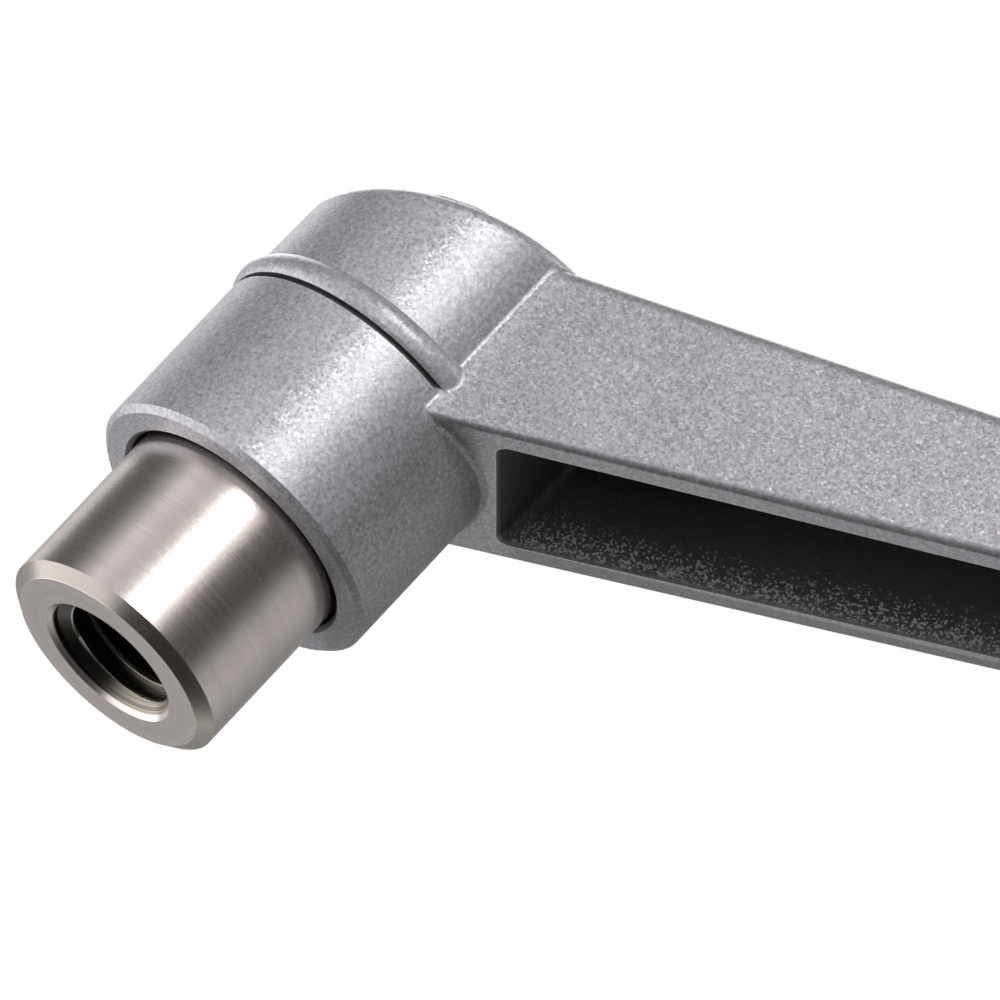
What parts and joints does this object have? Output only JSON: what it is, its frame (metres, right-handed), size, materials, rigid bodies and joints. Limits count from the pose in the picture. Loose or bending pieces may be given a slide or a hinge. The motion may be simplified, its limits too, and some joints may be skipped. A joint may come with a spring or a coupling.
{
  "type": "adjustable clamping lever",
  "caption": "Clamping lever with a hollow rising arm on a spring-loaded hub that lifts off a serrated, internally threaded steel sleeve.",
  "frame": {"origin": "centre of the threaded insert's clamping face, at the mouth of its thread", "axes": "+Z along the thread's axis into the hub and towards the retaining screw, +X along the arm in plan, with the arm rising away from the clamping face"},
  "size_m": [0.0723, 0.0186, 0.0499],
  "materials": {
    "powder_coated_zinc": "fine sparkling silver-grey powder coat",
    "turned_steel": "fine turned, slightly warm grey",
    "screw_steel": "zinc plated, satin",
    "spring_steel": "drawn wire"
  },
  "bodies": {
    "insert": {"threaded_insert": "turned_steel", "retaining_screw": "screw_steel"},
    "spring": {"return_spring": "spring_steel"},
    "lever": {"lever": "powder_coated_zinc"}
  },
  "joints": [
    {"name": "lever_swivel", "type": "hinge", "parent": "insert", "child": "spring", "pos_m": [0, 0, 0], "axis": [0, 0, 1], "continuous": true},
    {"name": "lever_lift", "type": "slide", "parent": "spring", "child": "lever", "axis": [0, 0, 1], "range_m": [0, 0.0039], "stiffness_N_per_m": 2000, "springref_m": -0.002, "deforming": ["return_spring"]}
  ]
}
